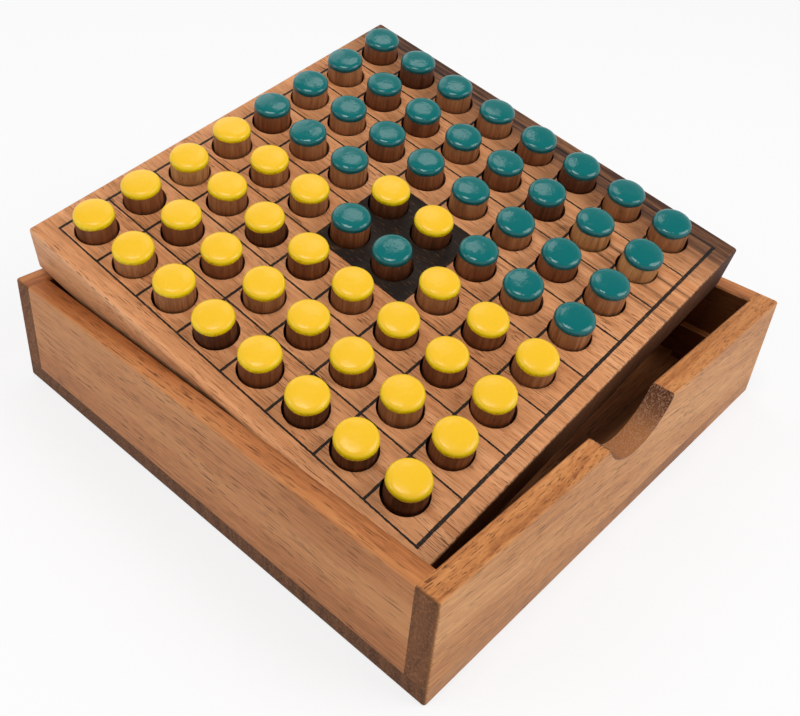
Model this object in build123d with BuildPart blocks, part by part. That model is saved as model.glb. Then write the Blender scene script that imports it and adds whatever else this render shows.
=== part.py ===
from build123d import *
import os
from math import cos, sin

# Reversi game: an open wooden box and a thick playing board that lies askew in it.
# The board's front left corner stands on the box floor and its underside leans on the
# top inner edges of the back wall and the right wall. Sixty-four loose pegs, a
# different colour on each end, stand in blind holes in the board.
# X runs along the notched front wall, Y towards the back wall, Z up, in millimetres.
# The origin is the middle of the box's underside.

# Box
box_length = 170.0
box_width = 168.0
box_height = 37.0
base_thickness = 6.0
wall_thickness = 7.0
sanded_radius = 0.9
rim_bevel = 0.5

# Finger notch, an arc cut down from the rim through the front wall
notch_width = 33.0
notch_depth = 10.0

# Playing board, smaller than the well by its play in length and in width
board_play_x = 3.0
board_play_y = 1.5
board_thickness = 17.0
board_radius = 0.9

# Blocks glued in the corners, which carry the board just below the rim when it lies flat
block_length = 18.0
block_thickness = 3.0
board_below_rim = 1.0

# How the board lies: its low corner stands this far inside the left and front walls
corner_from_left = 7.3
corner_from_front = 11.2
board_rest_gap = 0.15

# Drilled holes, spread evenly between the outermost ones, whose centres lie this far
# inside the board's edges. The pattern is then shifted and turned a touch.
squares = 8
outer_hole_inset_x = 14.2
outer_hole_inset_y = 15.35
hole_shift_x = 0.7
hole_shift_y = 2.3
hole_turn = 0.5
hole_diameter = 13.2
hole_depth = 10.0

# Pegs, with the shallow domed ends that their coats of enamel give them
peg_diameter = 12.0
peg_length = 18.0
peg_dome = 1.0
peg_rest_gap = 0.15

# Each peg leans by up to this many degrees, changing from peg to peg as a wave does
peg_lean = 2.2
lean_by_column = 2.4
lean_by_row = 1.3

well_length = box_length - 2 * wall_thickness
well_width = box_width - 2 * wall_thickness
board_length = well_length - board_play_x
board_width = well_width - board_play_y
hole_pitch_x = (board_length - 2 * outer_hole_inset_x) / (squares - 1)
hole_pitch_y = (board_width - 2 * outer_hole_inset_y) / (squares - 1)

# The board's own frame: its low corner is the origin, its x axis climbs to the right
# wall's rim and its y axis to the back wall's rim, at a right angle to the first
climb = box_height - base_thickness
low_corner_x = wall_thickness + corner_from_left - box_length / 2
low_corner_y = wall_thickness + corner_from_front - box_width / 2
run_to_right = box_length / 2 - wall_thickness - low_corner_x
run_to_back = box_width / 2 - wall_thickness - low_corner_y
along_x = Vector(run_to_right, 0, climb).normalized()
along_y = Vector(-climb * climb / run_to_right, run_to_back, climb).normalized()
board_under = Plane(
    origin=(low_corner_x, low_corner_y, base_thickness + board_rest_gap),
    x_dir=along_x,
    z_dir=along_x.cross(along_y),
)
board_top = board_under.offset(board_thickness)
hole_centre_x = board_length / 2 + hole_shift_x
hole_centre_y = board_width / 2 + hole_shift_y
hole_pattern = Plane(board_top * Location((hole_centre_x, hole_centre_y, 0), (0, 0, hole_turn)))

os.makedirs("parts", exist_ok=True)

# The sanded outline that every piece of the box keeps to
with BuildPart() as sanded_box:
    with BuildSketch():
        Rectangle(box_length, box_width)
    extrude(amount=box_height)
    fillet(sanded_box.edges(), radius=sanded_radius)

# The well inside the walls, flared at the rim to ease its edge
with BuildPart() as well:
    with BuildSketch(Plane.XY.offset(base_thickness)):
        Rectangle(well_length, well_width)
    extrude(amount=climb)
    with BuildSketch(Plane.XY.offset(box_height)):
        Rectangle(well_length + 2 * rim_bevel, well_width + 2 * rim_bevel)
    extrude(amount=-rim_bevel, taper=45)

# Bottom panel, glued on under all four walls
with BuildPart() as bottom_panel:
    with BuildSketch():
        Rectangle(box_length, box_width)
    extrude(amount=base_thickness)
    add(sanded_box.part, mode=Mode.INTERSECT)
bottom_panel.part.label = "bottom_panel"
export_step(bottom_panel.part, "parts/bottom_panel.step")

# The front wall runs the full length, so its ends show at the sides
notch_radius = (notch_width**2 / 4 + notch_depth**2) / (2 * notch_depth)
wall_middle_y = (box_width - wall_thickness) / 2
with BuildPart() as front_wall:
    with BuildSketch(Plane.XY.offset(base_thickness)):
        with Locations((0, -wall_middle_y)):
            Rectangle(box_length, wall_thickness)
    extrude(amount=climb)
    add(sanded_box.part, mode=Mode.INTERSECT)
    add(well.part, mode=Mode.SUBTRACT)
    with BuildSketch(Plane.XZ.offset(wall_middle_y)):
        with Locations((0, box_height - notch_depth + notch_radius)):
            Circle(notch_radius)
    extrude(amount=wall_thickness, both=True, mode=Mode.SUBTRACT)
front_wall.part.label = "front_wall"
export_step(front_wall.part, "parts/front_wall.step")

# The back wall is as long, and the side walls are held between the other two
wall_middle_x = (box_length - wall_thickness) / 2
plain_walls = {
    "back_wall": (0, wall_middle_y, box_length, wall_thickness),
    "left_wall": (-wall_middle_x, 0, wall_thickness, well_width),
    "right_wall": (wall_middle_x, 0, wall_thickness, well_width),
}
for name, (wall_x, wall_y, length, width) in plain_walls.items():
    with BuildPart() as wall:
        with BuildSketch(Plane.XY.offset(base_thickness)):
            with Locations((wall_x, wall_y)):
                Rectangle(length, width)
        extrude(amount=climb)
        add(sanded_box.part, mode=Mode.INTERSECT)
        add(well.part, mode=Mode.SUBTRACT)
    wall.part.label = name
    export_step(wall.part, f"parts/{name}.step")

# Four corner blocks, each against a side wall and the end of the well
block_height = climb - board_thickness - board_below_rim
with BuildPart() as support_blocks:
    with BuildSketch(Plane.XY.offset(base_thickness)):
        with GridLocations(well_length - block_thickness, well_width - block_length, 2, 2):
            Rectangle(block_thickness, block_length)
    extrude(amount=block_height)
support_blocks.part.label = "support_blocks"
export_step(support_blocks.part, "parts/support_blocks.step")

# Playing board with its blind holes
with BuildPart() as playing_board:
    with BuildSketch(board_under):
        Rectangle(board_length, board_width, align=(Align.MIN, Align.MIN))
    extrude(amount=board_thickness)
    fillet(playing_board.edges(), radius=board_radius)
    with BuildSketch(hole_pattern):
        with GridLocations(hole_pitch_x, hole_pitch_y, squares, squares):
            Circle(hole_diameter / 2)
    extrude(amount=-hole_depth, mode=Mode.SUBTRACT)
playing_board.part.label = "playing_board"
export_step(playing_board.part, "parts/playing_board.step")

# Pegs are named by column letter, from the left, and row number, from the front.
# The four pegs by each corner share a node.
peg_nodes = {}
for column in range(squares):
    for row in range(squares):
        in_corner_columns = column < 2 or column >= squares - 2
        in_corner_rows = row < 2 or row >= squares - 2
        side = "left" if column < squares / 2 else "right"
        end = "front" if row < squares / 2 else "back"
        name = f"peg_{chr(ord('a') + column)}{row + 1}"
        if in_corner_columns and in_corner_rows:
            name = f"corner_pegs_{end}_{side}"
        peg_nodes.setdefault(name, []).append((column, row))

# Each peg leans its own way in its loose hole, about a point half way down the hole,
# and rests on the hole's floor on the shallow dome of its lower end
peg_radius = peg_diameter / 2
half_depth = hole_pattern.offset(-hole_depth / 2)
for name, cells in peg_nodes.items():
    with BuildPart() as pegs:
        for column, row in cells:
            hole_x = (column - (squares - 1) / 2) * hole_pitch_x
            hole_y = (row - (squares - 1) / 2) * hole_pitch_y
            lean_x = peg_lean * sin(lean_by_column * column + lean_by_row * row)
            lean_y = peg_lean * cos(lean_by_row * column - lean_by_column * row)
            half_way = Plane(half_depth * Location((hole_x, hole_y, 0), (lean_x, lean_y, 0)))
            seat = half_way.offset(peg_rest_gap - hole_depth / 2)
            with BuildSketch(Plane(origin=seat.origin, x_dir=seat.x_dir, z_dir=-seat.y_dir)):
                with BuildLine():
                    TangentArc((0, 0), (peg_radius, peg_dome), tangent=(1, 0))
                    Line((peg_radius, peg_dome), (peg_radius, peg_length - peg_dome))
                    TangentArc((0, peg_length), (peg_radius, peg_length - peg_dome), tangent=(1, 0))
                    Line((0, 0), (0, peg_length))
                make_face()
            revolve(axis=Axis(seat.origin, seat.z_dir))
    pegs.part.label = name
    export_step(pegs.part, f"parts/{name}.step")
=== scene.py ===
from math import cos, pi, radians, sin

import bmesh
import bpy
from mathutils import Euler, Matrix, Vector, noise


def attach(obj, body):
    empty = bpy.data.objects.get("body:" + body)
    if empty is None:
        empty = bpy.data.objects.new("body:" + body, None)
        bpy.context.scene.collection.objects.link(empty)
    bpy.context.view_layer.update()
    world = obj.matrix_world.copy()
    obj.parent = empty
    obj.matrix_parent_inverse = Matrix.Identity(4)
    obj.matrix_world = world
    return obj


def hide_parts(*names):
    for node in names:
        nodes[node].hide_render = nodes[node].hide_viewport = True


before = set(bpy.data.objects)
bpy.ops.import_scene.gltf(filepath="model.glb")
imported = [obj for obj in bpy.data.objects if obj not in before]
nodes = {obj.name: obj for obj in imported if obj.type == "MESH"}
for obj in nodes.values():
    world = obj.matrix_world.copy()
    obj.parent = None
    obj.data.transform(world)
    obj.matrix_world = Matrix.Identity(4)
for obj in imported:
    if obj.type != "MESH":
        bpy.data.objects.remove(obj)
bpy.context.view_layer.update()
mm = 0.001  # in metres, the scene's own unit
print("frame loaded:", len(nodes), "nodes")

scene = bpy.context.scene
scene.view_settings.view_transform = "Standard"


# Small helpers

def linear(hexCode):
    # sRGB hex to the linear colour that the shaders take
    values = [int(hexCode[i:i + 2], 16) / 255 for i in (1, 3, 5)]
    return [c / 12.92 if c <= 0.04045 else ((c + 0.055) / 1.055) ** 2.4 for c in values] + [1]


def addNode(tree, kind, links, **settings):
    # links maps an input to its value, or to the socket or node that feeds it.
    # A node feeds by its first output in use.
    made = tree.nodes.new(kind)
    for name, value in settings.items():
        setattr(made, name, value)
    for key, value in links.items():
        if isinstance(value, bpy.types.Node):
            value = next(output for output in value.outputs if output.enabled)
        if isinstance(value, bpy.types.NodeSocket):
            tree.links.new(value, made.inputs[key])
        else:
            made.inputs[key].default_value = value
    return made


def newMaterial(name):
    material = bpy.data.materials.new(name)
    material.use_nodes = True
    material.node_tree.nodes.clear()
    return material, material.node_tree


def turned(x, y, z):
    return Euler((radians(x), radians(y), radians(z))).to_matrix().to_4x4()


# How the board lies: low corner on the box floor, underside on the rims of the right and back walls.
# All sizes and places of the object are in mm.
board = {
    "length": 153.0,
    "width": 152.5,
    "thickness": 17.0,
    "lowCorner": (-70.7, -65.8, 6.15),
    "runToRight": 148.7,
    "runToBack": 142.8,
    "climb": 31.0,
}
climb = board["climb"]
boardX = Vector((board["runToRight"], 0, climb)).normalized()
boardY = Vector((-climb * climb / board["runToRight"], board["runToBack"], climb)).normalized()
boardUp = boardX.cross(boardY)
boardTurn = Matrix((boardX, boardY, boardUp)).transposed().to_4x4()
boardTop = Matrix.Translation(Vector(board["lowCorner"]) + boardUp * board["thickness"]) @ boardTurn


# Wood. All of the game is one open pored tropical hardwood, planed, sanded and oiled: a warm
# tan with soft bands, vessels that show as dark flecks and dashes along the grain and as dark
# grit on the much darker end grain, and hardly any gloss.
grainLook = {
    "bend": (70.0, 22.0),  # length and breadth of one bend of the fibres
    "alongLayers": 0.015,  # how fast the growth layers change along the fibres
    "layerNoise": {"Detail": 3.0, "Roughness": 0.6},
    "layerRange": (0.3, 0.7),
    "toneEnds": (0.25, 0.75),  # the tones that are fully deep and fully pale
    "vesselEdge": 0.03,  # how softly a vessel begins
    "betweenClusters": 0.35,  # what is left of the vessels between their clusters
    "dashEdge": (0.36, 0.12),  # where a dash begins and is full, as distances from its cell's middle
    "lookingUp": (0.5, 0.9),  # how far up a face looks, from a wall to a top
    "squareOn": (0.55, 1.05),  # how square to the fibres a face stands, from long grain to end grain
    "raggedEnd": 0.3,  # how much the grit moves the border between the two
    "layersInEnd": 0.4,  # share that the layers have in the end grain's tone, beside the grit
    "roughSpread": (-0.05, 0.08),  # what the smoothest and the roughest streaks add
    "endRough": 0.15,  # what end grain adds
    # heights of the streaks and of the end grain's grit, where a pore is 1 deep
    "streakHeight": 0.3,
    "endHeight": 0.8,
    "bump": 0.8,
    "ior": 1.45,
    "specular": 0.25,
}


def followFibres(tree, coordinates, wood, grain):
    # places in mm on the frame of the grain, whose x axis runs along the fibres
    inWood = addNode(
        tree, "ShaderNodeMapping",
        {
            "Vector": coordinates.outputs["Object"],
            "Location": grain.translation * mm,
            "Rotation": grain.to_euler(),
            "Scale": (mm, mm, mm),
        },
        vector_type="TEXTURE",
    )

    # the fibres wander a little on their way
    along, across = grainLook["bend"]
    slow = addNode(
        tree, "ShaderNodeVectorMath",
        {0: inWood, 1: (1 / along, 1 / across, 1 / across)},
        operation="MULTIPLY",
    )
    wander = addNode(tree, "ShaderNodeTexNoise", {"Vector": slow, "Scale": 1.0, "Detail": 1.0})
    centred = addNode(
        tree, "ShaderNodeVectorMath",
        {0: wander.outputs["Color"], 1: (0.5, 0.5, 0.5)},
        operation="SUBTRACT",
    )
    return addNode(
        tree, "ShaderNodeVectorMath",
        {0: centred, 1: (0, wood["wander"], wood["wander"]), 2: inWood},
        operation="MULTIPLY_ADD",
    )


def drawPatterns(tree, fibres, wood):
    # patterns that are drawn out along the fibres
    vesselsFrom = wood["vesselsFrom"]
    vesselsFull = vesselsFrom + grainLook["vesselEdge"]
    patterns = {
        # length and breadth of one repeat in mm, detail, and the range that becomes 0 to 1
        "patches": (90.0, 16.0, 2.0, 0.3, 0.7),
        "streaks": (18.0, 0.9, 4.0, 0.3, 0.7),
        "hairs": (7.0, 0.28, 2.0, 0.3, 0.7),
        "clusters": (35.0, 7.0, 1.0, 0.38, 0.62),
        "vessels": (wood["vesselLength"], wood["vesselBreadth"], 1.0, vesselsFrom, vesselsFull),
        "grit": (1.5, 0.7, 4.0, 0.36, 0.64),
    }
    drawn = {}
    for name, (along, across, detail, low, high) in patterns.items():
        place = addNode(
            tree, "ShaderNodeVectorMath",
            {0: fibres, 1: (1 / along, 1 / across, 1 / across)},
            operation="MULTIPLY",
        )
        repeat = addNode(tree, "ShaderNodeTexNoise", {"Vector": place, "Scale": 1.0, "Detail": detail})
        drawn[name] = addNode(tree, "ShaderNodeMapRange", {0: repeat, 1: low, 2: high})

    # growth layers lie round a far pith
    fromPith = addNode(
        tree, "ShaderNodeVectorMath",
        {0: fibres, 1: (grainLook["alongLayers"], 1, 1), 2: (0, -wood["pith"][0], -wood["pith"][1])},
        operation="MULTIPLY_ADD",
    )
    radius = addNode(tree, "ShaderNodeVectorMath", {0: fromPith}, operation="LENGTH")
    layers = addNode(
        tree, "ShaderNodeTexNoise",
        {"W": radius, "Scale": 1 / wood["layer"], **grainLook["layerNoise"]},
        noise_dimensions="1D",
    )
    low, high = grainLook["layerRange"]
    drawn["layers"] = addNode(tree, "ShaderNodeMapRange", {0: layers, 1: low, 2: high})
    return drawn


def mixTones(tree, drawn, wood):
    # the patterns together give the tone, each with its share
    tone = 0.0
    for name, share in wood["shares"].items():
        tone = addNode(
            tree, "ShaderNodeMath",
            {0: drawn[name], 1: share / sum(wood["shares"].values()), 2: tone},
            operation="MULTIPLY_ADD",
        )
    ramp = addNode(tree, "ShaderNodeValToRGB", {0: tone})
    stops = ramp.color_ramp.elements
    for stop, position, name in zip(stops, grainLook["toneEnds"], ("deep", "pale")):
        stop.position = position
        stop.color = linear(wood[name])
    stops.new(sum(grainLook["toneEnds"]) / 2).color = linear(wood["middle"])
    return ramp


def drawPores(tree, fibres, drawn, wood):
    # vessels: fine flecks that gather in clusters, and fewer bold dashes, some cells having none
    gathered = addNode(
        tree, "ShaderNodeMapRange",
        {0: drawn["clusters"], 3: grainLook["betweenClusters"], 4: 1.0},
    )
    vessels = addNode(tree, "ShaderNodeMath", {0: drawn["vessels"], 1: gathered}, operation="MULTIPLY")
    place = addNode(
        tree, "ShaderNodeVectorMath",
        {0: fibres, 1: (1 / wood["dashLength"], 1 / wood["dashBreadth"], 1 / wood["dashBreadth"])},
        operation="MULTIPLY",
    )
    cells = addNode(tree, "ShaderNodeTexVoronoi", {"Vector": place, "Scale": 1.0})
    begins, full = grainLook["dashEdge"]
    dashes = addNode(tree, "ShaderNodeMapRange", {0: cells, 1: begins, 2: full, 3: 0.0, 4: 1.0})
    cell = addNode(tree, "ShaderNodeSeparateColor", {0: cells.outputs["Color"]})
    chosen = addNode(tree, "ShaderNodeMapRange", {0: cell, 1: wood["bare"], 2: 1.0})
    dashes = addNode(tree, "ShaderNodeMath", {0: dashes, 1: chosen}, operation="MULTIPLY")
    return addNode(tree, "ShaderNodeMath", {0: vessels, 1: dashes}, operation="MAXIMUM")


def facingUp(tree, coordinates, onWalls, onTops):
    # one value on walls, another on faces that look up
    upwards = addNode(
        tree, "ShaderNodeVectorMath",
        {0: coordinates.outputs["Normal"], 1: (0, 0, 1)},
        operation="DOT_PRODUCT",
    )
    begins, full = grainLook["lookingUp"]
    return addNode(tree, "ShaderNodeMapRange", {0: upwards, 1: begins, 2: full, 3: onWalls, 4: onTops})


def tintTops(tree, coordinates, colour, wood):
    # the faces that look up are tinted warmer and a little darker than the walls
    share = facingUp(tree, coordinates, 0.0, 1.0)
    return addNode(
        tree, "ShaderNodeMix",
        {0: share, 6: colour, 7: linear(wood["topTint"])},
        data_type="RGBA", blend_type="MULTIPLY",
    )


def findEndGrain(tree, coordinates, drawn, grain):
    # the more square the surface stands to the fibres, the more end grain it shows, with a ragged edge
    facing = addNode(
        tree, "ShaderNodeVectorMath",
        {0: coordinates.outputs["Normal"], 1: grain.to_3x3() @ Vector((1, 0, 0))},
        operation="DOT_PRODUCT",
    )
    squareOn = addNode(tree, "ShaderNodeMath", {0: facing}, operation="ABSOLUTE")
    ragged = addNode(
        tree, "ShaderNodeMath",
        {0: drawn["grit"], 1: grainLook["raggedEnd"], 2: squareOn},
        operation="MULTIPLY_ADD",
    )
    begins, full = grainLook["squareOn"]
    return addNode(tree, "ShaderNodeMapRange", {0: ragged, 1: begins, 2: full})


def woodSurface(tree, wood, grain):
    coordinates = addNode(tree, "ShaderNodeTexCoord", {})
    fibres = followFibres(tree, coordinates, wood, grain)
    drawn = drawPatterns(tree, fibres, wood)
    pores = drawPores(tree, fibres, drawn, wood)
    poreShare = addNode(tree, "ShaderNodeMath", {0: pores, 1: wood["poreShare"]}, operation="MULTIPLY")
    colour = addNode(
        tree, "ShaderNodeMix",
        {0: poreShare, 6: mixTones(tree, drawn, wood), 7: linear(wood["pore"])},
        data_type="RGBA",
    )
    colour = tintTops(tree, coordinates, colour, wood)
    endShare = findEndGrain(tree, coordinates, drawn, grain)
    endTone = addNode(
        tree, "ShaderNodeMix",
        {0: grainLook["layersInEnd"], 2: drawn["grit"], 3: drawn["layers"]},
    )
    endColour = addNode(
        tree, "ShaderNodeMix",
        {0: endTone, 6: linear(wood["endDeep"]), 7: linear(wood["endPale"])},
        data_type="RGBA",
    )
    colour = addNode(tree, "ShaderNodeMix", {0: endShare, 6: colour, 7: endColour}, data_type="RGBA")

    # streaks and end grain are rougher, and they stand up while the pores lie deep
    smoothest, roughest = (wood["rough"] + spread for spread in grainLook["roughSpread"])
    rough = addNode(tree, "ShaderNodeMapRange", {0: drawn["streaks"], 3: smoothest, 4: roughest})
    rough = addNode(
        tree, "ShaderNodeMath",
        {0: endShare, 1: grainLook["endRough"], 2: rough},
        operation="MULTIPLY_ADD",
    )
    height = addNode(
        tree, "ShaderNodeMath",
        {0: drawn["streaks"], 1: grainLook["streakHeight"]},
        operation="MULTIPLY",
    )
    height = addNode(tree, "ShaderNodeMath", {0: height, 1: pores}, operation="SUBTRACT")
    torn = addNode(tree, "ShaderNodeMath", {0: drawn["grit"], 1: endShare}, operation="MULTIPLY")
    height = addNode(
        tree, "ShaderNodeMath",
        {0: torn, 1: grainLook["endHeight"], 2: height},
        operation="MULTIPLY_ADD",
    )
    return coordinates, colour, rough, height


def finishWood(tree, colour, rough, height, depth):
    # the oil has soaked in, so the gloss is low; depth is that of the pores
    bump = addNode(
        tree, "ShaderNodeBump",
        {"Height": height, "Distance": depth * mm, "Strength": grainLook["bump"]},
    )
    surface = addNode(
        tree, "ShaderNodeBsdfPrincipled",
        {
            "Base Color": colour,
            "Roughness": rough,
            "Normal": bump,
            "IOR": grainLook["ior"],
            "Specular IOR Level": grainLook["specular"],
        },
    )
    addNode(tree, "ShaderNodeOutputMaterial", {0: surface})


# The box
boxWood = {
    "pale": "#CB8F5D",
    "middle": "#B87849",
    "deep": "#985E33",
    "pore": "#48260A",
    # tint multiplied onto the faces that look up
    "topTint": "#FFEFDC",
    "endPale": "#92603C",
    "endDeep": "#4A2712",
    "shares": {"layers": 0.9, "patches": 0.6, "streaks": 0.6, "hairs": 0.35},
    "layer": 3.4,  # thickness of one growth layer
    "pith": (60.0, 35.0),  # how far off the middle of the growth layers lies
    "wander": 2.5,  # how far the fibres wander
    "vesselLength": 7.0,
    "vesselBreadth": 0.34,
    "vesselsFrom": 0.63,  # the higher, the fewer vessels
    "dashLength": 6.0,
    "dashBreadth": 0.65,
    "bare": 0.58,  # share of the cells that have no dash
    "poreShare": 0.78,  # how clearly vessels and dashes show their own colour
    "poreDepth": 0.1,
    "rough": 0.52,
}
# the bottom panel is a darker board; the front wall has broad layers and is coloured paler than the other
# walls
panelWood = {
    "pale": "#C38C5E",
    "middle": "#AB7347",
    "deep": "#8C5B37",
    "endPale": "#835636",
    "endDeep": "#3A1E0E",
}
frontWood = {
    "pale": "#DDA671",
    "middle": "#C78A55",
    "deep": "#9F6539",
    "layer": 6.0,
    "wander": 6.0,
    "dashLength": 4.5,
    "bare": 0.5,
    "poreShare": 0.7,
}
# where each board of the box was cut from the plank, which way its fibres run in degrees, and
# what sets it apart
boxPieces = {
    "bottom_panel": ((310, 20, 40), (0, 0, 1.5), panelWood),
    "front_wall": ((40, 75, 10), (0, 7, 0), frontWood),
    "back_wall": ((150, 12, 31), (0, -2, 0), {}),
    "left_wall": ((95, 41, 7), (2.5, 0, 90), {"layer": 4.5}),
    "right_wall": ((220, 33, 52), (-2, 0, 90), {}),
    "support_blocks": ((60, 90, 15), (0, 0, 90), {}),
}

# the well inside the walls, in mm, and the painted shade that darkens its walls
well = {
    "length": 156.0,
    "width": 154.0,
    "rim": 36.2,  # height at which the shade stops, just below the bevel
    "shade": "#94806F",
    "edge": (0.15, 0.05),  # how far outside the well the shade begins and is full
}
notch = {
    "width": 33.0,
    "depth": 10.0,
    "rim": 37.0,
    "torn": "#5E3420",
    "smooth": "#A96A3C",
    "fibre": "#BC8C68",
    "edge": (0.45, 0.1),  # how far outside the arc the cut begins and is full
    "tears": {"Scale": 2.0, "Detail": 3.0, "Roughness": 0.7},  # the scale is per mm
    "steep": (13.0, 21.0),  # distance from the middle, with the tears added, from smooth to torn
    "ragged": 14.0,  # how far the tears move that border
    "loose": (0.49, 0.61, 0.75),  # the tears that show loose fibres, and how clearly
    "tearHeight": 6.0,  # where a pore is 1 deep
}


def addNotch(tree, coordinates, colour, height):
    # the notch was cut across the fibres: darker and torn on its steep ends, with pale loose fibres
    radius = (notch["width"] ** 2 / 4 + notch["depth"] ** 2) / (2 * notch["depth"])
    centre = notch["rim"] - notch["depth"] + radius
    place = addNode(
        tree, "ShaderNodeMapping",
        {
            "Vector": coordinates.outputs["Object"],
            "Location": (0, 0, -centre),
            "Scale": (1 / mm, 1 / mm, 1 / mm),
        },
    )
    flat = addNode(tree, "ShaderNodeVectorMath", {0: place, 1: (1, 0, 1)}, operation="MULTIPLY")
    distance = addNode(tree, "ShaderNodeVectorMath", {0: flat}, operation="LENGTH")
    begins, full = (radius + outside for outside in notch["edge"])
    inside = addNode(tree, "ShaderNodeMapRange", {0: distance, 1: begins, 2: full, 3: 0.0, 4: 1.0})
    along = addNode(tree, "ShaderNodeSeparateXYZ", {0: place})
    sideways = addNode(tree, "ShaderNodeMath", {0: along}, operation="ABSOLUTE")
    tears = addNode(tree, "ShaderNodeTexNoise", {"Vector": place, **notch["tears"]})
    ragged = addNode(
        tree, "ShaderNodeMath",
        {0: tears, 1: notch["ragged"], 2: sideways},
        operation="MULTIPLY_ADD",
    )
    begins, full = notch["steep"]
    steep = addNode(tree, "ShaderNodeMapRange", {0: ragged, 1: begins, 2: full})
    cut = addNode(
        tree, "ShaderNodeMix",
        {0: steep, 6: linear(notch["smooth"]), 7: linear(notch["torn"])},
        data_type="RGBA",
    )
    begins, full, share = notch["loose"]
    loose = addNode(tree, "ShaderNodeMapRange", {0: tears, 1: begins, 2: full, 3: 0.0, 4: share})
    cut = addNode(tree, "ShaderNodeMix", {0: loose, 6: cut, 7: linear(notch["fibre"])}, data_type="RGBA")
    colour = addNode(tree, "ShaderNodeMix", {0: inside, 6: colour, 7: cut}, data_type="RGBA")
    tearing = addNode(tree, "ShaderNodeMath", {0: tears, 1: inside}, operation="MULTIPLY")
    height = addNode(
        tree, "ShaderNodeMath",
        {0: tearing, 1: notch["tearHeight"], 2: height},
        operation="MULTIPLY_ADD",
    )
    return colour, height


def paintWellShade(tree, coordinates, colour):
    # painted shade: the walls inside the well, though not the faces there that look up, are darkened by the
    # shade colour
    place = addNode(
        tree, "ShaderNodeVectorMath",
        {0: coordinates.outputs["Object"], 1: (1 / mm, 1 / mm, 1 / mm)},
        operation="MULTIPLY",
    )
    fromMiddle = addNode(tree, "ShaderNodeVectorMath", {0: place}, operation="ABSOLUTE")
    beyond = addNode(
        tree, "ShaderNodeVectorMath",
        {0: fromMiddle, 1: (well["length"] / 2, well["width"] / 2, well["rim"])},
        operation="SUBTRACT",
    )
    axes = addNode(tree, "ShaderNodeSeparateXYZ", {0: beyond})
    furthest = axes.outputs[0]
    for axis in (1, 2):
        furthest = addNode(
            tree, "ShaderNodeMath",
            {0: furthest, 1: axes.outputs[axis]},
            operation="MAXIMUM",
        )
    begins, full = well["edge"]
    inside = addNode(tree, "ShaderNodeMapRange", {0: furthest, 1: begins, 2: full, 3: 0.0, 4: 1.0})
    wall = facingUp(tree, coordinates, 1.0, 0.0)
    inside = addNode(tree, "ShaderNodeMath", {0: inside, 1: wall}, operation="MULTIPLY")
    return addNode(
        tree, "ShaderNodeMix",
        {0: inside, 6: colour, 7: linear(well["shade"])},
        data_type="RGBA", blend_type="MULTIPLY",
    )


for name, (place, turn, change) in boxPieces.items():
    material, tree = newMaterial("oiledHardwood_" + name)
    wood = {**boxWood, **change}
    grain = Matrix.Translation(-Vector(place)) @ turned(*turn)
    coordinates, colour, rough, height = woodSurface(tree, wood, grain)
    # painted shade on the walls inside the well
    colour = paintWellShade(tree, coordinates, colour)
    if name == "front_wall":
        colour, height = addNotch(tree, coordinates, colour, height)
    finishWood(tree, colour, rough, height, wood["poreDepth"])
    nodes[name].data.materials[0] = material
print("box: wood on", len(boxPieces), "pieces")


# The playing board: the same wood, paler and more flecked, its fibres running to the back, with a
# dark heartwood edge on the right and a grid printed in black ink that breaks a little over the grain
boardWood = {
    **boxWood,
    "pale": "#E8AE80",
    "middle": "#DC9F70",
    "deep": "#C98A5B",
    "pore": "#5C2F10",
    "topTint": "#FFF4E8",
    "endPale": "#724528",
    "endDeep": "#361B0D",
    "shares": {"layers": 0.9, "patches": 0.8, "streaks": 0.4, "hairs": 0.4},
    "layer": 2.6,
    "pith": (30.0, 90.0),
    "vesselLength": 5.0,
    "vesselBreadth": 0.26,
    "vesselsFrom": 0.61,
    "dashLength": 10.0,
    "dashBreadth": 0.42,
    "bare": 0.5,
    "poreShare": 0.85,
    # where the board was cut from the plank, and which way its fibres run in degrees
    "place": (-180, -40, -25),
    "turn": 91,
}
heartwood = {
    "colour": "#45291C",
    # how much heartwood there is at a distance from the board's left edge
    "edge": ((0, 0), (129, 0), (134, 0.3), (139, 0.4), (143, 0.8), (146, 1), (152, 1), (153, 0.8)),
    # dark lines run in from the front and fade out towards the back: distance from the left
    # edge, strength, half breadth
    "lines": (
        (104.5, 0.45, 0.5), (108, 0.4, 0.4), (111.5, 0.85, 0.8), (113.6, 0.4, 0.4), (116.4, 0.5, 0.4),
        (118.2, 0.95, 1.0), (120.4, 0.5, 0.4), (123.8, 0.9, 0.8), (125.7, 0.45, 0.4), (129.6, 0.5, 0.6),
    ),
    "fade": (25.0, 95.0, 0.12),  # distances from the front between which they fade, and what is left
    "wander": 7.0,  # how far the edge and the lines wander
    # patterns of noise: repeats per mm across and along the fibres, and settings
    "bends": (0.05, 0.012, {"Detail": 3.0}),
    "dashes": (0.5, 0.03, {"Detail": 2.0}),
    "cracks": (0.5, 0.02, {"Detail": 4.0, "Roughness": 0.65}),
    # what breaks the heartwood up: range of the noise, and the share of heartwood that it leaves
    "leaves": {"dashes": (0.32, 0.5, 0.15, 1.0), "cracks": (0.35, 0.6, 0.65, 1.1)},
}
gridPrint = {
    "ink": "#0C0B0A",
    "corner": (6.66, 5.64),  # front left corner of the grid, from the board's own
    "square": 17.6,
    "squares": 8,
    # half the breadth of the lines along and across the grain, and what the first one has more
    "halfLine": (0.29, 0.44),
    "firstExtra": (0.0, 0.1),
    "raggedness": 0.36,  # how far the edges of the print stray
    "raggedScale": 0.9,  # per mm
    "depth": 0.35,  # how far below the top face the ink reaches on a rounded edge
    "breaks": (2.2, 0.25),  # repeats per mm across and along the fibres
    "cover": (0.28, 0.42, 0.75, 0.98),  # range of the breaks' noise, and the cover that it becomes
}


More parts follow.
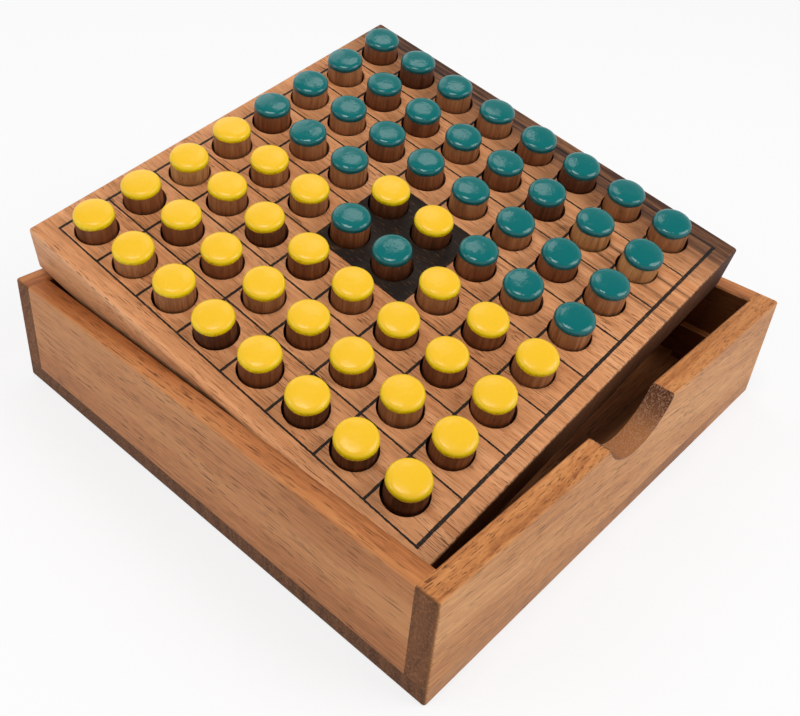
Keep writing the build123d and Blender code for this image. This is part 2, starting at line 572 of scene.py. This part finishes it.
def addHeartwood(tree, onBoard, colour):
    # dark heartwood in wandering bands, broken up into streaks
    patterns = {}
    for name in ("bends", "dashes", "cracks"):
        across, along, settings = heartwood[name]
        scaled = addNode(
            tree, "ShaderNodeVectorMath",
            {0: onBoard, 1: (across, along, across)},
            operation="MULTIPLY",
        )
        patterns[name] = addNode(tree, "ShaderNodeTexNoise", {"Vector": scaled, "Scale": 1.0, **settings})
    place = addNode(tree, "ShaderNodeSeparateXYZ", {0: onBoard})
    centred = addNode(tree, "ShaderNodeMath", {0: patterns["bends"], 1: 0.5}, operation="SUBTRACT")
    bentX = addNode(
        tree, "ShaderNodeMath",
        {0: centred, 1: heartwood["wander"], 2: place},
        operation="MULTIPLY_ADD",
    )
    share = addNode(tree, "ShaderNodeMath", {0: bentX, 1: board["length"]}, operation="DIVIDE")
    lines = [(0, 0)]
    for distance, amount, half in heartwood["lines"]:
        lines += [(distance - half, 0), (distance, amount), (distance + half, 0)]
    bands = {}
    for name, levels in {"edge": heartwood["edge"], "lines": lines}.items():
        bands[name] = addNode(tree, "ShaderNodeValToRGB", {0: share})
        stops = bands[name].color_ramp.elements
        stops.remove(stops[1])
        for distance, amount in levels:
            stop = stops.new(distance / board["length"]) if distance else stops[0]
            stop.color = (amount, amount, amount, 1)
    begins, ends, left = heartwood["fade"]
    fading = addNode(
        tree, "ShaderNodeMapRange",
        {0: place.outputs[1], 1: begins, 2: ends, 3: 1.0, 4: left},
    )
    leaves = {}
    for name, (low, high, least, most) in heartwood["leaves"].items():
        leaves[name] = addNode(
            tree, "ShaderNodeMapRange",
            {0: patterns[name], 1: low, 2: high, 3: least, 4: most},
        )
    inner = addNode(tree, "ShaderNodeMath", {0: bands["lines"], 1: fading}, operation="MULTIPLY")
    inner = addNode(tree, "ShaderNodeMath", {0: inner, 1: leaves["dashes"]}, operation="MULTIPLY")
    amount = addNode(tree, "ShaderNodeMath", {0: bands["edge"], 1: inner}, operation="MAXIMUM")
    amount = addNode(
        tree, "ShaderNodeMath",
        {0: amount, 1: leaves["cracks"]},
        operation="MULTIPLY", use_clamp=True,
    )
    return addNode(
        tree, "ShaderNodeMix",
        {0: amount, 6: colour, 7: linear(heartwood["colour"])},
        data_type="RGBA",
    )


def addPrint(tree, onBoard, colour):
    # straight lines one square apart and four filled squares in the middle, on the top face only
    ragged = addNode(
        tree, "ShaderNodeTexNoise",
        {"Vector": onBoard, "Scale": gridPrint["raggedScale"], "Detail": 3.0},
    )
    centred = addNode(
        tree, "ShaderNodeVectorMath",
        {0: ragged.outputs["Color"], 1: (0.5, 0.5, 0.5)},
        operation="SUBTRACT",
    )
    place = addNode(
        tree, "ShaderNodeVectorMath",
        {0: centred, 1: (gridPrint["raggedness"],) * 3, 2: onBoard},
        operation="MULTIPLY_ADD",
    )
    axes = addNode(tree, "ShaderNodeSeparateXYZ", {0: place})
    square = gridPrint["square"]
    half = gridPrint["squares"] / 2 * square
    lines, inGrid, inMiddle = [], [], []
    for axis in (0, 1):
        halfLine = gridPrint["halfLine"][axis]
        extra = gridPrint["firstExtra"][axis]
        middle = gridPrint["corner"][axis] + half
        signed = addNode(tree, "ShaderNodeMath", {0: axes.outputs[axis], 1: middle}, operation="SUBTRACT")
        fromMiddle = addNode(tree, "ShaderNodeMath", {0: signed}, operation="ABSOLUTE")
        # the middle is a line, and so is every whole square from it
        nearest = addNode(tree, "ShaderNodeMath", {0: fromMiddle, 1: square / 2}, operation="PINGPONG")
        first = addNode(tree, "ShaderNodeMath", {0: signed, 1: square / 2 - half}, operation="LESS_THAN")
        breadth = addNode(tree, "ShaderNodeMath", {0: first, 1: extra, 2: halfLine}, operation="MULTIPLY_ADD")
        lines.append(addNode(tree, "ShaderNodeMath", {0: nearest, 1: breadth}, operation="LESS_THAN"))
        reach = addNode(tree, "ShaderNodeMath", {0: breadth, 1: half}, operation="ADD")
        inGrid.append(addNode(tree, "ShaderNodeMath", {0: fromMiddle, 1: reach}, operation="LESS_THAN"))
        reach = square + halfLine
        inMiddle.append(addNode(tree, "ShaderNodeMath", {0: fromMiddle, 1: reach}, operation="LESS_THAN"))
    ink = addNode(tree, "ShaderNodeMath", {0: lines[0], 1: lines[1]}, operation="MAXIMUM")
    for part in inGrid:
        ink = addNode(tree, "ShaderNodeMath", {0: ink, 1: part}, operation="MULTIPLY")
    filled = addNode(tree, "ShaderNodeMath", {0: inMiddle[0], 1: inMiddle[1]}, operation="MULTIPLY")
    ink = addNode(tree, "ShaderNodeMath", {0: ink, 1: filled}, operation="MAXIMUM")
    level = addNode(tree, "ShaderNodeSeparateXYZ", {0: onBoard}).outputs[2]
    onTop = addNode(tree, "ShaderNodeMath", {0: level, 1: -gridPrint["depth"]}, operation="GREATER_THAN")
    ink = addNode(tree, "ShaderNodeMath", {0: ink, 1: onTop}, operation="MULTIPLY")
    across, along = gridPrint["breaks"]
    fine = addNode(tree, "ShaderNodeVectorMath", {0: onBoard, 1: (across, along, 1)}, operation="MULTIPLY")
    broken = addNode(tree, "ShaderNodeTexNoise", {"Vector": fine, "Scale": 1.0, "Detail": 4.0})
    low, high, least, most = gridPrint["cover"]
    cover = addNode(tree, "ShaderNodeMapRange", {0: broken, 1: low, 2: high, 3: least, 4: most})
    ink = addNode(tree, "ShaderNodeMath", {0: ink, 1: cover}, operation="MULTIPLY")
    return addNode(tree, "ShaderNodeMix", {0: ink, 6: colour, 7: linear(gridPrint["ink"])}, data_type="RGBA")


material, tree = newMaterial("oiledHardwood_playing_board")
boardGrain = boardTop @ Matrix.Translation(boardWood["place"]) @ turned(0, 0, boardWood["turn"])
coordinates, colour, rough, height = woodSurface(tree, boardWood, boardGrain)
onBoard = addNode(
    tree, "ShaderNodeMapping",
    {
        "Vector": coordinates.outputs["Object"],
        "Location": boardTop.translation * mm,
        "Rotation": boardTop.to_euler(),
        "Scale": (mm, mm, mm),
    },
    vector_type="TEXTURE",
)
colour = addHeartwood(tree, onBoard, colour)
colour = addPrint(tree, onBoard, colour)
finishWood(tree, colour, rough, height, boardWood["poreDepth"])
nodes["playing_board"].data.materials[0] = material
print("board: wood and print")


# Pegs: dowels of a darker wood, each end dipped in enamel. Enamel is a thick glossy paint with a
# rounded shoulder, a wavy lower edge and a few tiny bubbles.
peg = {
    "radius": 6.0,
    "length": 18.0,
    "coat": 0.1,  # thickness of the enamel
    "flat": 0.3,  # how far the flat end of the enamel lies below the tip of the CAD model's dome
    "steps": 32,  # faces in one turn
    "restGap": 0.15,
    # how far a peg leans in degrees, in each of two directions, changing from peg to peg as a wave does
    "lean": 2.2,
    "leanByColumn": 2.4,
    "leanByRow": 1.3,
    # the enamel from the middle of the end to its lower edge: distance from the axis, depth
    "outline": ((2.4, 0.05), (4.4, 0.2), (5.3, 0.46), (5.75, 0.84), (5.93, 1.28), (6.0, 1.8)),
    "edgeDepth": 2.1,
    # the closed underside of a coat: how far inside the dowel's face it starts, and how far it rises
    "underside": (0.2, 0.4),
    # the dowel's end inside the enamel: how far it stops short, and its chamfer's breadth and height
    "bareEnd": 1.4,
    "chamfer": (0.8, 0.6),
    # uneven paint: the height of its waves, beads and dents, and how closely they follow each other
    "edgeWave": 0.3,
    "waves": (1.3, 3.1),
    "secondWave": 0.5,  # height of the finer waves beside the others
    "bead": 0.16,
    "beads": 2.1,
    "unevenness": 0.05,
    "dents": 0.35,
    "shoulderDepth": 1.0,  # depth at which the waves and beads set in
}
hole = {
    "pitchX": 17.8,
    "pitchY": 17.4,
    "squares": 8,
    # how far the pattern is off the board's middle, and how far it is turned in degrees
    "shiftX": 0.7,
    "shiftY": 2.3,
    "turn": 0.5,
    "depth": 10.0,
}
# dowels have narrower growth layers, finer pores and a little more gloss than the box
pegWood = {
    **boxWood,
    "shares": {"layers": 0.7, "patches": 0.6, "streaks": 0.5, "hairs": 0.4},
    "layer": 1.6,
    "wander": 1.0,
    "vesselLength": 6.0,
    "vesselBreadth": 0.3,
    "dashBreadth": 0.45,
    "bare": 0.5,
    "poreShare": 0.42,
    "pore": "#2A1107",
    "topTint": "#FFFFFF",
    "poreDepth": 0.07,
    "rough": 0.48,
}
pegTones = {
    "l": {"pale": "#C4925F", "middle": "#B07D4C", "deep": "#96653D"},
    "m": {"pale": "#A8724A", "middle": "#935F39", "deep": "#7B4A2A"},
    "d": {"pale": "#8C5634", "middle": "#774526", "deep": "#60341B"},
    "b": {"pale": "#6B3F25", "middle": "#562F19", "deep": "#412110"},
}
# tone of each dowel (light, middle, dark, black), from the front row to the back row
pegToneRows = ("bddmmmlm", "bmddmdlm", "bddmdmbb", "ddmbbmdd", "bmddbdmm", "mdbmmddm", "mdmmmmdb", "ddlmdmmd")

enamel = {
    "yellow": {
        "top": "#FBC626",
        "shoulder": "#F4D504",
        "fleck": "#8A8305",
        "rough": 0.28,
        "slot": "yellow_enamel",
    },
    "green": {
        "top": "#006C6B",
        # painted shade: the green's shoulder is darker than its top, as its rims lie in shade
        "shoulder": "#005A5D",
        "fleck": "#00373B",
        "rough": 0.14,
        "slot": "green_enamel",
    },
}
paint = {
    "ior": 1.5,
    "specular": 0.35,
    "shoulder": (0.45, 0.95),  # how far a face looks along the peg, from shoulder colour to top colour
    # scales are per mm
    "mottle": {"Scale": 1.3, "Detail": 3.0, "Roughness": 0.7},
    "mottled": (0.44, 0.6),  # range of the mottle from no flecks to full ones
    "thin": (0.4, 0.05, 0.7),  # how far a side looks along the peg, and how clearly flecks show there
    "flow": {"Scale": 0.35, "Detail": 3.0, "Roughness": 0.6},
    "bubbles": 0.5,
    "bubble": (0.12, 0.02, 0.4),  # rim and top as distances from its cell's middle, and height
    "bump": (0.3, 0.45),  # height and strength
}
pegAxis = boardTurn.to_3x3() @ Vector((0, 0, 1))


def enamelMaterial(name, look):
    # solvent enamel, IOR 1.5: glossy and flowed out on the end; the shoulder takes its own colour, more
    # strongly coloured on the yellow and on the green a darker one that is painted shade on the rims; thin
    # along its lower edge, where the wood under it shows as dark flecks
    material, tree = newMaterial(name)
    coordinates = addNode(tree, "ShaderNodeTexCoord", {})
    facing = addNode(
        tree, "ShaderNodeVectorMath",
        {0: coordinates.outputs["Normal"], 1: pegAxis},
        operation="DOT_PRODUCT",
    )
    along = addNode(tree, "ShaderNodeMath", {0: facing}, operation="ABSOLUTE")
    begins, full = paint["shoulder"]
    share = addNode(tree, "ShaderNodeMapRange", {0: along, 1: begins, 2: full})
    colour = addNode(
        tree, "ShaderNodeMix",
        {0: share, 6: linear(look["shoulder"]), 7: linear(look["top"])},
        data_type="RGBA",
    )
    inMm = addNode(
        tree, "ShaderNodeMapping",
        {"Vector": coordinates.outputs["Object"], "Scale": (1 / mm, 1 / mm, 1 / mm)},
    )
    mottle = addNode(tree, "ShaderNodeTexNoise", {"Vector": inMm, **paint["mottle"]})
    begins, full = paint["mottled"]
    mottle = addNode(tree, "ShaderNodeMapRange", {0: mottle, 1: begins, 2: full})
    begins, full, thinnest = paint["thin"]
    side = addNode(tree, "ShaderNodeMapRange", {0: along, 1: begins, 2: full, 3: 0.0, 4: thinnest})
    thin = addNode(tree, "ShaderNodeMath", {0: mottle, 1: side}, operation="MULTIPLY")
    colour = addNode(tree, "ShaderNodeMix", {0: thin, 6: colour, 7: linear(look["fleck"])}, data_type="RGBA")
    flow = addNode(tree, "ShaderNodeTexNoise", {"Vector": inMm, **paint["flow"]})
    cells = addNode(tree, "ShaderNodeTexVoronoi", {"Vector": inMm, "Scale": paint["bubbles"]})
    rim, top, rise = paint["bubble"]
    bubble = addNode(tree, "ShaderNodeMapRange", {0: cells, 1: rim, 2: top, 3: 0.0, 4: 1.0})
    height = addNode(tree, "ShaderNodeMath", {0: bubble, 1: rise, 2: flow}, operation="MULTIPLY_ADD")
    depth, strength = paint["bump"]
    bump = addNode(tree, "ShaderNodeBump", {"Height": height, "Distance": depth * mm, "Strength": strength})
    surface = addNode(
        tree, "ShaderNodeBsdfPrincipled",
        {
            "Base Color": colour,
            "Roughness": look["rough"],
            "Normal": bump,
            "IOR": paint["ior"],
            "Specular IOR Level": paint["specular"],
        },
    )
    addNode(tree, "ShaderNodeOutputMaterial", {0: surface})
    return material


enamelMaterials = {name: enamelMaterial("glossyEnamel_" + name, look) for name, look in enamel.items()}
pegGrain = boardTop @ turned(0, -90, 0)
pegMaterials = {}
for tone, colours in pegTones.items():
    material, tree = newMaterial("dowelWood_" + tone)
    coordinates, colour, rough, height = woodSurface(tree, {**pegWood, **colours}, pegGrain)
    finishWood(tree, colour, rough, height, pegWood["poreDepth"])
    pegMaterials[tone] = material


def spun(name, outline, seat, material, bend=None):
    # turns an outline of (distance from the axis, height) round the z axis and puts it on its seat
    work = bmesh.new()
    points = [work.verts.new((radius, 0, z)) for radius, z in outline]
    edges = [work.edges.new(pair) for pair in zip(points, points[1:])]
    bmesh.ops.spin(
        work, geom=points + edges, cent=(0, 0, 0), axis=(0, 0, 1),
        angle=2 * pi, steps=peg["steps"], use_merge=True,
    )
    bmesh.ops.remove_doubles(work, verts=work.verts, dist=1e-5)
    bmesh.ops.recalc_face_normals(work, faces=work.faces)
    if bend:
        for vertex in work.verts:
            vertex.co += bend(vertex.co)
    for face in work.faces:
        face.smooth = True
    bmesh.ops.transform(work, matrix=Matrix.Scale(mm, 4) @ seat, verts=work.verts)
    mesh = bpy.data.meshes.new(name)
    work.to_mesh(mesh)
    work.free()
    mesh.materials.append(material)
    piece = bpy.data.objects.new(name, mesh)
    scene.collection.objects.link(piece)
    return piece


def unevenPaint(seed):
    # waves and beads along the enamel's lower edge, and an end that isn't quite flat;
    # seeds are any numbers that set one noise apart from another
    def bend(point):
        outward = Vector((point.x, point.y, 0)).normalized()
        wave = noise.noise(outward * peg["waves"][0] + Vector((0, 0, seed)))
        wave += peg["secondWave"] * noise.noise(outward * peg["waves"][1] + Vector((0, 0, seed + 40)))
        # 0 at the shoulder, 1 at the enamel's lower edge
        low = (-point.z - peg["shoulderDepth"]) / (peg["edgeDepth"] - peg["shoulderDepth"])
        low = min(max(low, 0), 1)
        bead = max(noise.noise(outward * peg["beads"] + Vector((seed, 0, 7))), 0) * peg["bead"] * low
        dent = noise.noise(point * peg["dents"] + Vector((seed, 0, 0)))
        rise = wave * peg["edgeWave"] * low + dent * peg["unevenness"] * (1 - low)
        return outward * bead + Vector((0, 0, rise))
    return bend


holeCentre = (board["length"] / 2 + hole["shiftX"], board["width"] / 2 + hole["shiftY"], 0)
holePattern = boardTop @ Matrix.Translation(holeCentre) @ turned(0, 0, hole["turn"])
inner = peg["radius"] - peg["coat"]
length = peg["length"]
edge = -peg["edgeDepth"]
inset, rise = peg["underside"]
coatOutline = [(0, 0)] + [(radius, -depth) for radius, depth in peg["outline"]]
coatOutline += [(peg["radius"], edge), (inner - inset, edge), (0, edge + rise)]
bareEnd = peg["bareEnd"]
breadth, rise = peg["chamfer"]
dowelOutline = [(0, bareEnd), (inner - breadth, bareEnd), (inner, bareEnd + rise)]
dowelOutline += [(radius, length - height) for radius, height in reversed(dowelOutline)]
squares = hole["squares"]
half = squares // 2
middleTwo = (half - 1, half)


def pegNode(column, row, cell):
    # the four pegs by each corner of the board share a node
    if 2 <= column < squares - 2 or 2 <= row < squares - 2:
        return "peg_" + cell
    end = "front" if row < half else "back"
    side = "left" if column < half else "right"
    return "corner_pegs_" + end + "_" + side


def pegSeat(column, row):
    # a peg leans about a point half way down its hole; its seat is the frame of its lower end
    holeX = (column - (squares - 1) / 2) * hole["pitchX"]
    holeY = (row - (squares - 1) / 2) * hole["pitchY"]
    leanX = peg["lean"] * sin(peg["leanByColumn"] * column + peg["leanByRow"] * row)
    leanY = peg["lean"] * cos(peg["leanByRow"] * column - peg["leanByColumn"] * row)
    seat = holePattern @ Matrix.Translation((holeX, holeY, -hole["depth"] / 2))
    seat = seat @ turned(leanX, 0, 0) @ turned(0, leanY, 0)
    return seat @ Matrix.Translation((0, 0, peg["restGap"] - hole["depth"] / 2))


for column in range(squares):
    for row in range(squares):
        cell = "abcdefgh"[column] + str(row + 1)
        node = pegNode(column, row, cell)
        seat = pegSeat(column, row)
        # yellow is up on the left half and green on the right half, the other way round in the middle
        inMiddle = column in middleTwo and row in middleTwo
        yellowUp = (column < half) != inMiddle
        upper, lower = ("yellow", "green") if yellowUp else ("green", "yellow")
        dowel = spun("dowel_" + cell, dowelOutline, seat, pegMaterials[pegToneRows[row][column]])
        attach(dowel, node)
        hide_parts(node)
        seed = column * 7.3 + row * 3.1
        coats = {
            upper: (Matrix.Translation((0, 0, length)), seed),
            lower: (turned(180, 0, 0), seed + 50),
        }
        for colourName, (tip, coatSeed) in coats.items():
            name = "enamel_" + cell + "_" + colourName
            coatSeat = seat @ tip @ Matrix.Translation((0, 0, -peg["flat"]))
            coat = spun(name, coatOutline, coatSeat, enamelMaterials[colourName], unevenPaint(coatSeed))
            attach(coat, node)
print("pegs:", squares ** 2)


# Floor, light and camera
stage = {
    "size": 6.0,  # metres
    "paper": "#F7F7F7",
    "paperRough": 0.9,
    "paperSpecular": 0.1,
    "paperGlow": 0.75,  # share of plain white in the paper round the object
    # metres from the object at which the paper begins and ends its fade to plain white,
    # so that no horizon shows
    "fade": (0.5, 2.2),
    # world light on the object, and how dark the ceiling over it is beside the white walls
    "world": 0.5,
    "ceiling": 0.25,
    "ceilingFrom": (0.45, 0.85),  # how far up a direction points, from wall to ceiling
    "lamps": {
        # name: place in metres, width, watts
        "overhead": ((-0.28, -0.08, 1.05), 0.38, 3.3),
        "left": ((-0.9, 0.5, 0.7), 0.5, 2.0),
        "right": ((0.48, -0.93, 0.95), 0.8, 7.6),
        "back": ((0.3, 0.9, 0.9), 0.8, 2.0),
        "gloss": ((0.44, 0.3, 1.0), 0.34, 0.8),
    },
}
work = bmesh.new()
bmesh.ops.create_grid(work, x_segments=1, y_segments=1, size=stage["size"] / 2)
mesh = bpy.data.meshes.new("floor")
work.to_mesh(mesh)
work.free()
floor = bpy.data.objects.new("floor", mesh)
scene.collection.objects.link(floor)

# matt white paper that takes the object's shadow; to the camera and in reflections it is mostly plain white
material, tree = newMaterial("mattWhitePaper")
mesh.materials.append(material)
paper = addNode(
    tree, "ShaderNodeBsdfPrincipled",
    {
        "Base Color": linear(stage["paper"]),
        "Roughness": stage["paperRough"],
        "Specular IOR Level": stage["paperSpecular"],
    },
)
glow = addNode(tree, "ShaderNodeEmission", {"Color": (1, 1, 1, 1), "Strength": 1.0})
world = bpy.data.worlds.new("studio")
scene.world = world
world.use_nodes = True
world.node_tree.nodes.clear()
seen = {}
for tree in (material.node_tree, world.node_tree):
    rays = addNode(tree, "ShaderNodeLightPath", {})
    plain = addNode(
        tree, "ShaderNodeMath",
        {0: rays.outputs["Is Camera Ray"], 1: rays.outputs["Is Glossy Ray"]},
        operation="MAXIMUM",
    )
    seen[tree] = addNode(
        tree, "ShaderNodeMath",
        {0: plain, 1: rays.outputs["Is Transmission Ray"]},
        operation="MAXIMUM",
    )

tree = material.node_tree
coordinates = addNode(tree, "ShaderNodeTexCoord", {})
distance = addNode(tree, "ShaderNodeVectorMath", {0: coordinates.outputs["Object"]}, operation="LENGTH")
begins, ends = stage["fade"]
white = addNode(tree, "ShaderNodeMapRange", {0: distance, 1: begins, 2: ends, 3: stage["paperGlow"], 4: 1.0})
share = addNode(tree, "ShaderNodeMath", {0: seen[tree], 1: white}, operation="MULTIPLY")
surface = addNode(tree, "ShaderNodeMixShader", {0: share, 1: paper, 2: glow})
addNode(tree, "ShaderNodeOutputMaterial", {0: surface})

tree = world.node_tree
strength = addNode(tree, "ShaderNodeMapRange", {0: seen[tree], 3: stage["world"], 4: 1.0})
direction = addNode(tree, "ShaderNodeTexCoord", {})
up = addNode(tree, "ShaderNodeSeparateXYZ", {0: direction}).outputs[2]
begins, full = stage["ceilingFrom"]
ceiling = addNode(tree, "ShaderNodeMapRange", {0: up, 1: begins, 2: full, 3: 1.0, 4: stage["ceiling"]})
strength = addNode(tree, "ShaderNodeMath", {0: strength, 1: ceiling}, operation="MULTIPLY")
background = addNode(tree, "ShaderNodeBackground", {"Color": (1, 1, 1, 1), "Strength": strength})
addNode(tree, "ShaderNodeOutputWorld", {0: background})

for name, (place, size, watts) in stage["lamps"].items():
    lamp = bpy.data.lights.new(name, "AREA")
    lamp.shape = "DISK"
    lamp.size = size
    lamp.energy = watts
    holder = bpy.data.objects.new(name, lamp)
    holder.location = place
    holder.rotation_euler = (-Vector(place)).to_track_quat("-Z", "Y").to_euler()
    scene.collection.objects.link(holder)

# place and clip in metres, turn in degrees, lens in mm
view = {
    "place": (-0.19733, -0.15518, 0.20193),
    "turn": (55.272, -3.561, -46.875),
    "lens": 43.33,
    "shift": (0.0362, -0.0610),
    "clip": (0.01, 20.0),
}
camera = bpy.data.cameras.new("camera")
camera.lens = view["lens"]
camera.shift_x, camera.shift_y = view["shift"]
camera.clip_start, camera.clip_end = view["clip"]
holder = bpy.data.objects.new("camera", camera)
holder.location = view["place"]
holder.rotation_euler = [radians(angle) for angle in view["turn"]]
scene.collection.objects.link(holder)
scene.camera = holder
print("stage, light and camera placed")
